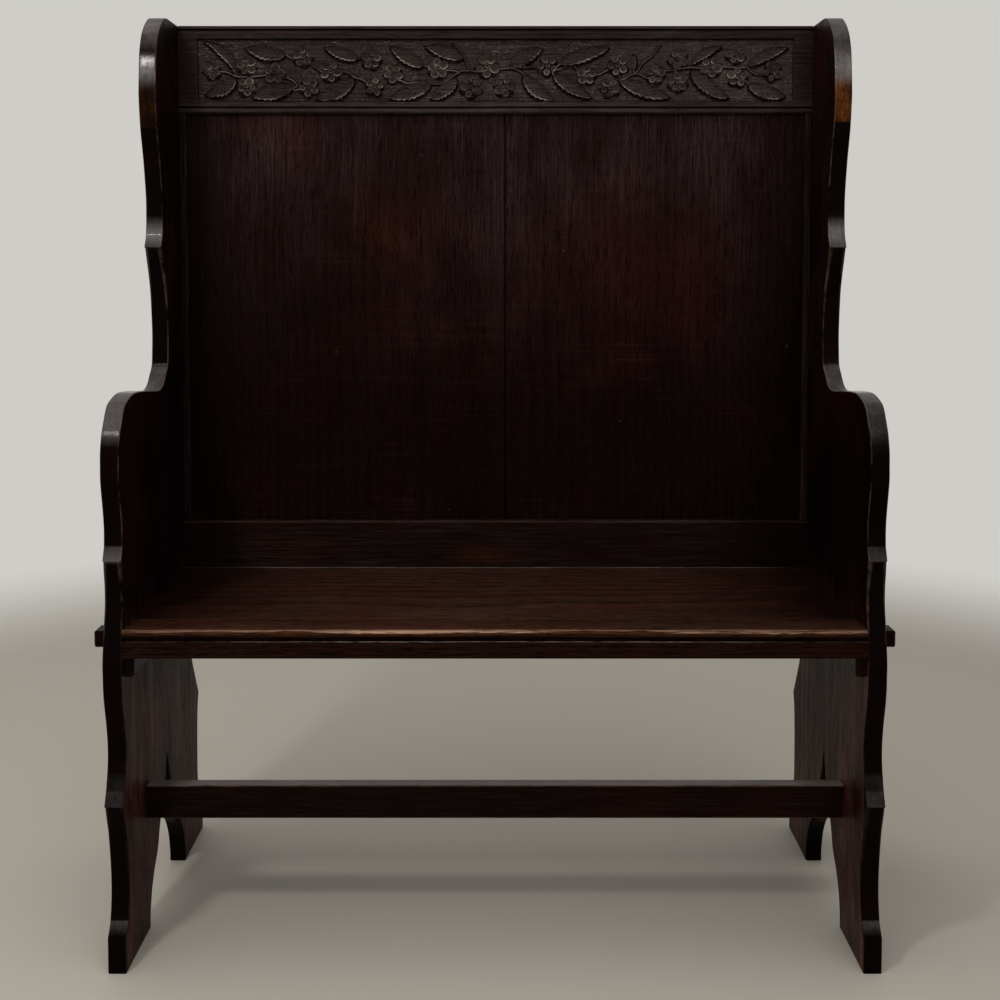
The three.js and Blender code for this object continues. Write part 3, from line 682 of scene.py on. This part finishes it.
# frieze: leaves, blossoms and stems in low relief on a gouged ground; the places are in mm from the lower
# left corner of the sunk field
frieze = {
    "corner": (-0.445, 1.151), "size": (0.89, 0.094), "floor": 0.12875,
    "groundRise": 0.5 * mm, "groundStep": 1.0 * mm, "gougeDepth": 0.55 * mm, "gougeLength": 11 * mm,
    "gougeWidth": 2.3 * mm, "chipLength": 4 * mm, "chipWidth": 1.6 * mm, "rimWidth": 2.0 * mm,
    "upperRimShare": 0.65, "haloDrop": 1.5 * mm, "haloWidth": 2.9 * mm, "haloDepth": 0.4 * mm,
    "fullness": 1.2, "leafSteps": 64, "leafRise": 2.1 * mm, "leafCrown": 0.8 * mm, "leafLip": 0.8 * mm,
    "rib": 0.6 * mm, "vein": 0.5 * mm, "veins": 7, "veinSlant": 1.5, "teeth": 8, "thinBelow": 2.2 * mm,
    "skirtDepth": 0.8 * mm, "skirtFlare": 0.3 * mm,
    "petals": 5, "petalRise": 2.9 * mm, "petalLong": 6.4 * mm, "petalWide": 5.9 * mm, "petalOut": 9.4 * mm,
    "petalSpokes": 16, "middleRadius": 3.6 * mm, "middleSpokes": 14, "rootDepth": 0.5 * mm,
    "stemThickness": 1.7 * mm, "stemSides": 8, "stemStep": 1.8 * mm, "stemLift": 0.3 * mm, "seed": 4,
    # tip, base, then how far the lower and the upper edge stand off the line between them
    "leaves": [
        (11, 89, 56, 41, -3, 15), (12, 11, 57, 36, 12, 7), (73, 81, 132, 71, 11, 7),
        (82, 8, 142, 22, 9, 12), (177, 6, 233, 37, 14, 5), (191, 82, 240, 65, 8, 7),
        (289, 82, 338, 54, 9, 8), (288, 6, 348, 28, 10, 10), (349, 5, 386, 35, 10, 8),
        (341, 83, 397, 65, 7, 9), (532, 4, 488, 41, 13, 5), (514, 80, 468, 55, 8, 11),
        (613, 80, 541, 57, 7, 11), (588, 7, 532, 41, 9, 7), (651, 71, 651, 48, 3, 5),
        (705, 8, 631, 33, 11, 7), (782, 82, 738, 55, 1, 10), (793, 7, 738, 49, 14, 5),
        (881, 81, 822, 53, 3, 10), (877, 9, 823, 27, 11, 7),
    ],
    # centre, reach as a share of the usual blossom, turn in degrees
    "blossoms": [
        (22, 47, 0.85, 18), (73, 55, 0.95, 40), (115, 43, 1.0, 62), (73, 24, 0.95, 12), (158, 68, 1.0, 50),
        (199, 46, 1.05, 8), (166, 23, 1.0, 30), (260, 64, 1.0, 54), (292, 43, 0.95, 22),
        (264, 24, 0.95, 66), (359, 51, 1.0, 46), (432, 54, 1.15, 18), (408, 23, 1.1, 36), (458, 24, 1.0, 4),
        (523, 55, 1.05, 28), (581, 41, 0.95, 60), (627, 55, 1.05, 34), (616, 22, 0.95, 14),
        (684, 42, 0.95, 52), (717, 64, 1.0, 24), (717, 31, 1.0, 44), (766, 53, 1.05, 10),
        (803, 72, 0.95, 38), (806, 38, 1.0, 58), (858, 46, 1.0, 26),
    ],
    # thickness as a share of the main stem, then the points it runs through
    "stems": [
        (1.0, [(32, 46), (43, 45), (58, 39), (70, 38), (88, 39), (103, 41)]),
        (0.8, [(58, 39), (56, 45), (52, 53)]), (0.8, [(132, 71), (138, 67), (144, 65), (151, 67)]),
        (1.0, [(128, 38), (138, 35), (146, 29), (148, 24), (142, 21), (155, 20)]),
        (0.8, [(172, 55), (181, 49), (188, 44)]),
        (1.0, [(214, 46), (226, 44), (234, 38), (248, 33), (256, 27)]), (0.8, [(240, 65), (250, 66)]),
        (1.0, [(295, 34), (305, 32), (311, 29), (323, 30), (348, 28), (362, 28), (376, 36), (390, 45)]),
        (0.8, [(338, 54), (349, 53)]), (0.9, [(370, 48), (384, 47), (391, 45)]),
        (1.2, [(388, 42), (392, 46), (405, 47), (424, 46), (434, 50)]),
        (0.8, [(381, 87), (390, 80), (397, 70), (406, 48)]),
        (1.2, [(446, 49), (456, 50), (468, 51), (478, 48), (484, 45), (488, 40)]),
        (0.8, [(468, 53), (484, 52), (507, 52), (515, 50)]),
        (0.9, [(530, 48), (546, 51), (557, 57), (568, 47), (577, 43)]),
        (0.9, [(541, 57), (535, 52), (530, 46), (532, 40)]), (0.8, [(590, 41), (600, 42), (613, 49)]),
        (1.0, [(630, 33), (637, 35), (648, 41), (660, 42), (668, 37), (678, 36)]),
        (0.7, [(690, 85), (678, 69), (664, 58), (657, 47), (652, 43)]), (0.8, [(651, 49), (652, 42)]),
        (1.0, [(694, 47), (712, 48), (727, 51), (737, 52), (750, 51), (760, 50)]),
        (0.7, [(712, 48), (717, 40)]), (1.0, [(777, 54), (797, 52), (819, 52)]),
        (0.9, [(820, 53), (831, 43), (847, 41)]), (0.8, [(823, 27), (818, 32), (812, 36)]),
    ],
}


def fieldPoint(u, v, rise=0.0):
    cornerX, cornerZ = frieze["corner"]
    return (cornerX + u * mm, frieze["floor"] - frieze["groundRise"] - rise, cornerZ + v * mm)


# t runs from the leaf's base to its tip, s from its lower edge at -1 over the rib to its upper edge at 1
def veinShare(t, s):
    return max(0.0, math.sin(2 * math.pi * (frieze["veins"] * t - frieze["veinSlant"] * abs(s))))


def leafHeight(t, s):
    height = frieze["leafRise"] * (1.0 if s < 0 else 1.0 - 0.7 * s) + frieze["leafCrown"] * (1 - s * s)
    height += frieze["leafLip"] * math.exp(-((s + 0.8) / 0.2) ** 2)
    height -= frieze["rib"] * math.exp(-(s / 0.11) ** 2)
    return height - frieze["vein"] * veinShare(t, s) ** 2 * min(1.0, abs(s) * 3)


# dirt and painted shade: most on the lower side and the skirts, less along the upper edge and the rib, some
# in the veins and in streaks
def leafDirt(spot, t, s):
    if abs(s) > 1.5 or s < -0.99:
        return 1.0
    if s > 0.9 or s == 0:
        return 0.55
    crease = veinShare(t, s) ** 4 * min(1.0, abs(s) * 3)
    streaks = max(0.0, noise.noise((spot.x / (7 * mm), spot.y / (1.4 * mm), 5)))
    return min(0.8, 0.45 * crease + 0.9 * streaks + 0.25 * max(0.0, s))


def leafMesh(tipU, tipV, baseU, baseV, below, above, start):
    tip = Vector((tipU, tipV)) * mm
    base = Vector((baseU, baseV)) * mm
    along = (tip - base).normalized()
    up = Vector((-along.y, along.x))
    if up.y < 0 or (up.y == 0 and up.x > 0):
        up = -up
    across = [-1.0, -0.93, -0.82, -0.66, -0.45, -0.24, -0.1, 0.0, 0.1, 0.24, 0.45, 0.66, 0.82, 0.93, 1.0]
    verts, arris, sunk, rim = [], [], [], []
    for i in range(frieze["leafSteps"]):
        t = i / (frieze["leafSteps"] - 1)
        width = frieze["fullness"] * (t ** 0.6) * ((1 - t) ** 0.75) / 0.392
        middle = (above - below) / 2 * mm * width
        half = (above + below) / 2 * mm * width
        tooth = (t * frieze["teeth"] + 0.3 * noise.noise((4 * t, start * 0.01, 3))) % 1.0
        ragged = 0.16 * noise.noise((2.6 * t, start * 0.017, frieze["seed"]))
        full = min(1.0, half / frieze["thinBelow"])
        row = []
        for s in across:
            reach = half * s * (1 + ragged + (0.22 * (tooth - 0.4) if abs(s) > 0.9 else 0.0))
            spot = base + along * (tip - base).length * t + up * (middle + reach)
            row.append((spot, leafHeight(t, s) * full, s))
        # a skirt takes both edges down into the ground
        flare = up * frieze["skirtFlare"]
        lower, upper = row[0][0], row[-1][0]
        row = [(lower - flare, -frieze["skirtDepth"], -2)] + row + [(upper + flare, -frieze["skirtDepth"], 2)]
        for spot, height, s in row:
            verts.append(fieldPoint(spot.x / mm, spot.y / mm, height))
            # the lower lip takes the painted highlight, the upper lip a little of it
            arris.append(1.0 if -0.99 < s < -0.7 else 0.25 if 0.7 < s < 0.97 else 0.05)
            sunk.append(leafDirt(spot, t, s))
        rim.append((lower.x, lower.y))
    columns = len(across) + 2
    faces = []
    for i in range(frieze["leafSteps"] - 1):
        for j in range(columns - 1):
            a = start + i * columns + j
            faces.append((a, a + 1, a + columns + 1, a + columns))
    return verts, faces, arris, sunk, rim


def carveLeaves():
    verts, faces, arris, sunk, rims = [], [], [], [], []
    for leaf in frieze["leaves"]:
        made = leafMesh(*leaf, len(verts))
        for store, part in zip((verts, faces, arris, sunk, rims), made):
            store.extend(part)
    mesh = newMesh("frieze_leaves", verts, faces, arris=arris, sunk=sunk)
    faceOutward(mesh, towards=Vector((0, -1, 0)), weld=0.02 * mm)
    return smoothPiece("frieze_leaves", mesh, sharpAngle=50), rims


# profile: share of the radius, height and how sunk (dirt and painted shade), from the middle outwards;
# local +Z faces the viewer
def roundPart(name, profile, halfWidth, halfLength, spokes):
    verts, faces, arris, sunk = [(0, 0, profile[0][1])], [], [0.2], [profile[0][2]]
    for share, height, depth in profile[1:]:
        for k in range(spokes):
            angle = 2 * math.pi * k / spokes
            verts.append((halfWidth * share * math.sin(angle), halfLength * share * math.cos(angle), height))
            # the ring just inside the rim takes the painted highlight where it faces down
            arris.append(1.0 if 0.8 < share <= 0.93 else 0.5 if 0.7 < share <= 0.8 else 0.15)
            sunk.append(depth)
    for k in range(spokes):
        faces.append((0, 1 + (k + 1) % spokes, 1 + k))
    for ring in range(len(profile) - 2):
        a, b = 1 + ring * spokes, 1 + (ring + 1) * spokes
        for k in range(spokes):
            j = (k + 1) % spokes
            faces.append((a + k, a + j, b + j, b + k))
    mesh = newMesh(name, verts, faces, arris=arris, sunk=sunk)
    faceOutward(mesh, towards=Vector((0, 0, 1)))
    mesh.shade_smooth()
    return addObject(name, mesh)


def newTree(name, inputs):
    tree = bpy.data.node_groups.new(name, "GeometryNodeTree")
    tree.interface.new_socket("Geometry", in_out="INPUT", socket_type="NodeSocketGeometry")
    for label, kind in inputs.items():
        tree.interface.new_socket(label, in_out="INPUT", socket_type=kind)
    tree.interface.new_socket("Geometry", in_out="OUTPUT", socket_type="NodeSocketGeometry")
    add = partial(addNode, tree)
    return tree, add, add("NodeGroupInput").outputs


def runTree(source, tree, values):
    maker = source.modifiers.new(tree.name, "NODES")
    maker.node_group = tree
    for item in tree.interface.items_tree:
        if item.in_out == "INPUT" and item.name in values:
            maker[item.identifier] = values[item.name]
    source.update_tag()
    shaped = source.evaluated_get(bpy.context.evaluated_depsgraph_get())
    mesh = bpy.data.meshes.new_from_object(shaped)
    source.modifiers.remove(maker)
    bpy.data.objects.remove(source)
    return mesh


# five cupped petals round a button, each petal of another size, turn and tilt
def blossomTree():
    tree, add, given = newTree("blossoms on points", {
        "Petal": "NodeSocketObject", "Middle": "NodeSocketObject", "Petals": "NodeSocketInt",
        "Petal Distance": "NodeSocketFloat", "Seed": "NodeSocketInt", "Material": "NodeSocketMaterial"})

    def randomBetween(low, high, extra):
        seed = add("Math", {0: given["Seed"], 1: extra}, operation="ADD")
        return add("FunctionNodeRandomValue", {2: low, 3: high, "Seed": seed}, data_type="FLOAT").outputs[1]

    def turned(rotation, x=0.0, y=0.0, z=0.0):
        by = add("CombineXYZ", {"X": x, "Y": y, "Z": z})
        by = add("FunctionNodeEulerToRotation", {0: by})
        if rotation is None:
            return by
        return add("FunctionNodeRotateRotation", {0: rotation, 1: by}, rotation_space="LOCAL")

    turn, reach, spin = [add("GeometryNodeInputNamedAttribute", {"Name": name}, data_type="FLOAT")
                         for name in ("turn", "reach", "spin")]
    facing = turned(None, x=math.pi / 2, y=turn)
    ring = add("GeometryNodeMeshCircle", {"Vertices": given["Petals"], "Radius": given["Petal Distance"]})
    step = add("Math", {0: 2 * math.pi, 1: given["Petals"]}, operation="DIVIDE")
    angle = add("Math", {0: add("GeometryNodeInputIndex"), 1: step}, operation="MULTIPLY")
    marked = add("GeometryNodeStoreNamedAttribute", {
        "Geometry": ring, "Name": "spin", "Value": angle}, data_type="FLOAT", domain="POINT")
    rings = add("GeometryNodeInstanceOnPoints", {
        "Points": given["Geometry"], "Instance": marked, "Rotation": facing, "Scale": reach})
    spots = add("GeometryNodeRealizeInstances", {"Geometry": rings})
    outward = turned(facing, z=add("Math", {0: spin, 1: randomBetween(-1.72, -1.42, 1)}, operation="ADD"))
    lifted = turned(outward, x=randomBetween(-0.28, 0.28, 2), y=randomBetween(-0.28, 0.28, 3))
    size = add("Math", {0: reach, 1: randomBetween(0.75, 1.25, 4)}, operation="MULTIPLY")
    tall = add("Math", {0: size, 1: randomBetween(0.5, 1.1, 5)}, operation="MULTIPLY")
    shape = add("CombineXYZ", {"X": size, "Y": size, "Z": tall})
    petal = add("GeometryNodeObjectInfo", {"Object": given["Petal"]}).outputs["Geometry"]
    middle = add("GeometryNodeObjectInfo", {"Object": given["Middle"]}).outputs["Geometry"]
    petals = add("GeometryNodeInstanceOnPoints", {
        "Points": spots, "Instance": petal, "Rotation": lifted, "Scale": shape})
    middles = add("GeometryNodeInstanceOnPoints", {
        "Points": given["Geometry"], "Instance": middle, "Rotation": facing, "Scale": reach})
    flowers = add("GeometryNodeJoinGeometry", {0: petals})
    tree.links.new(middles.outputs[0], flowers.inputs[0])
    solid = add("GeometryNodeRealizeInstances", {"Geometry": flowers})
    finished = add("GeometryNodeSetMaterial", {"Geometry": solid, "Material": given["Material"]})
    add("NodeGroupOutput", {0: finished})
    return tree


def carveBlossoms(material):
    rise = frieze["petalRise"]
    petal = roundPart("petal", [
        (0.0, 0.97 * rise, 0.45), (0.3, rise, 0.3), (0.55, 0.99 * rise, 0.1), (0.75, 0.9 * rise, 0.0),
        (0.88, 0.74 * rise, 0.0), (0.96, 0.52 * rise, 0.6), (1.0, 0.25 * rise, 1.0),
        (1.01, -frieze["rootDepth"], 1.0)], frieze["petalWide"], frieze["petalLong"], frieze["petalSpokes"])
    middle = roundPart("blossom middle", [
        (0.0, 0.75 * rise, 0.6), (0.3, 0.8 * rise, 0.6), (0.5, 1.08 * rise, 0.0), (0.72, 1.15 * rise, 0.0),
        (0.9, 0.95 * rise, 0.3), (1.0, 0.4 * rise, 1.0), (1.01, -frieze["rootDepth"], 1.0),
    ], frieze["middleRadius"], frieze["middleRadius"], frieze["middleSpokes"])
    places = newMesh("blossom places", [fieldPoint(u, v) for u, v, reach, turn in frieze["blossoms"]], [],
                     reach=[reach for u, v, reach, turn in frieze["blossoms"]],
                     turn=[math.radians(turn) for u, v, reach, turn in frieze["blossoms"]])
    made = runTree(addObject("blossom places", places), blossomTree(), {
        "Petal": petal, "Middle": middle, "Petals": frieze["petals"], "Petal Distance": frieze["petalOut"],
        "Seed": frieze["seed"], "Material": material})
    bpy.data.objects.remove(petal)
    bpy.data.objects.remove(middle)
    rims = []
    for u, v, reach, turn in frieze["blossoms"]:
        out, wide = reach * frieze["petalOut"], reach * frieze["petalWide"]
        for k in range(frieze["petals"]):
            way = 2 * math.pi * k / frieze["petals"] - math.radians(turn)
            middleU, middleV = u * mm + out * math.sin(way), v * mm + out * math.cos(way)
            for angle in np.linspace(0.6 * math.pi, 1.4 * math.pi, 12):
                rims.append((middleU + wide * math.sin(angle), middleV + wide * math.cos(angle)))
    return smoothPiece("frieze_blossoms", made, sharpAngle=60), rims


# round stems: paler on the crown, as wear and painted light, and darker down both sides, as dirt and painted
# shade
def stemTree():
    tree, add, given = newTree("stems along lines", {
        "Thickness": "NodeSocketFloat", "Sides": "NodeSocketInt", "Material": "NodeSocketMaterial"})
    line = add("GeometryNodeResampleCurve", {
        "Curve": given["Geometry"], "Length": frieze["stemStep"]}, mode="LENGTH")
    ring = add("GeometryNodeCurvePrimitiveCircle", {
        "Resolution": given["Sides"], "Radius": given["Thickness"]})
    tube = add("GeometryNodeCurveToMesh", {"Curve": line, "Profile Curve": ring, "Fill Caps": True})
    normal = add("GeometryNodeInputNormal")
    front = add("VectorMath", {0: normal, 1: (0, -1, 0)}, operation="DOT_PRODUCT").outputs["Value"]
    low = add("MapRange", {"Value": front, "From Max": 0.8, "To Min": 1.0, "To Max": 0.0})
    high = add("MapRange", {"Value": front, "From Min": 0.5, "To Max": 0.7})
    for mark, share in (("sunk", low), ("arris", high)):
        tube = add("GeometryNodeStoreNamedAttribute", {
            "Geometry": tube, "Name": mark, "Value": share}, data_type="FLOAT", domain="POINT")
    solid = add("GeometryNodeRealizeInstances", {"Geometry": tube})
    finished = add("GeometryNodeSetMaterial", {"Geometry": solid, "Material": given["Material"]})
    add("NodeGroupOutput", {0: finished})
    return tree


def carveStems(material):
    lines = bpy.data.curves.new("stem lines", "CURVE")
    lines.dimensions = "3D"
    rims = []
    for share, points in frieze["stems"]:
        spline = lines.splines.new("BEZIER")
        spline.bezier_points.add(len(points) - 1)
        for knot, (u, v) in zip(spline.bezier_points, points):
            knot.co = fieldPoint(u, v, frieze["stemLift"])
            knot.handle_left_type = knot.handle_right_type = "AUTO"
            knot.radius = share
        for (ua, va), (ub, vb) in zip(points, points[1:]):
            for k in range(6):
                rims.append(((ua + (ub - ua) * k / 6) * mm, (va + (vb - va) * k / 6) * mm))
    made = runTree(addObject("stem lines", lines), stemTree(), {
        "Thickness": frieze["stemThickness"], "Sides": frieze["stemSides"], "Material": material})
    return smoothPiece("frieze_stems", made, sharpAngle=60), rims


# the ground between them: gouge strokes and chips, with a cut round each form, and painted shadow
# in that cut and along the field's rim
def gougeGround(rims):
    width, height = frieze["size"]
    columns, rows = round(width / frieze["groundStep"]), round(height / frieze["groundStep"])
    near = kdtree.KDTree(len(rims))
    for i, (u, v) in enumerate(rims):
        near.insert((u, v, 0), i)
    near.balance()
    verts, sunk, arris = [], [], []
    for j in range(rows + 1):
        for i in range(columns + 1):
            u, v = width * i / columns, height * j / rows
            stroke = noise.noise((u / frieze["gougeLength"], v / frieze["gougeWidth"], frieze["seed"]))
            chip = noise.noise((u / frieze["chipLength"], v / frieze["chipWidth"], frieze["seed"] + 9))
            edge = i in (0, columns) or j in (0, rows)
            rise = 0.0 if edge else frieze["gougeDepth"] * (0.75 * stroke + 0.4 * chip)
            # the cut round each form, and the painted shadow in it, are deepest below it
            distance = near.find((u, v + frieze["haloDrop"], 0))[2]
            halo = math.exp(-(distance / frieze["haloWidth"]) ** 4)
            # painted shadow along the field's rim, widest under its upper edge
            inset = min(u, v, width - u, frieze["upperRimShare"] * (height - v))
            rim = math.exp(-(inset / frieze["rimWidth"]) ** 2)
            verts.append(fieldPoint(u / mm, v / mm, rise - frieze["haloDepth"] * halo))
            sunk.append(min(1.0, 0.04 + 0.9 * max(0.0, -chip) + halo + 0.9 * rim))
            arris.append(min(1.0, max(0.0, 0.7 * (stroke + chip))) * (1 - halo))
    faces = []
    for j in range(rows):
        for i in range(columns):
            a = j * (columns + 1) + i
            faces.append((a, a + 1, a + columns + 2, a + columns + 1))
    mesh = newMesh("frieze_ground", verts, faces, sunk=sunk, arris=arris)
    return smoothPiece("frieze_ground", mesh, sharpAngle=70)


leaves, leafRims = carveLeaves()
blossoms, blossomRims = carveBlossoms(carvedOak)
stems, stemRims = carveStems(carvedOak)
for piece in (leaves, blossoms, stems, gougeGround(leafRims + blossomRims + stemRims)):
    setMaterial(piece, carvedOak)
    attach(piece, "root")
print("frieze carved:", len(frieze["leaves"]), "leaves,", len(frieze["blossoms"]), "blossoms")

print("done")
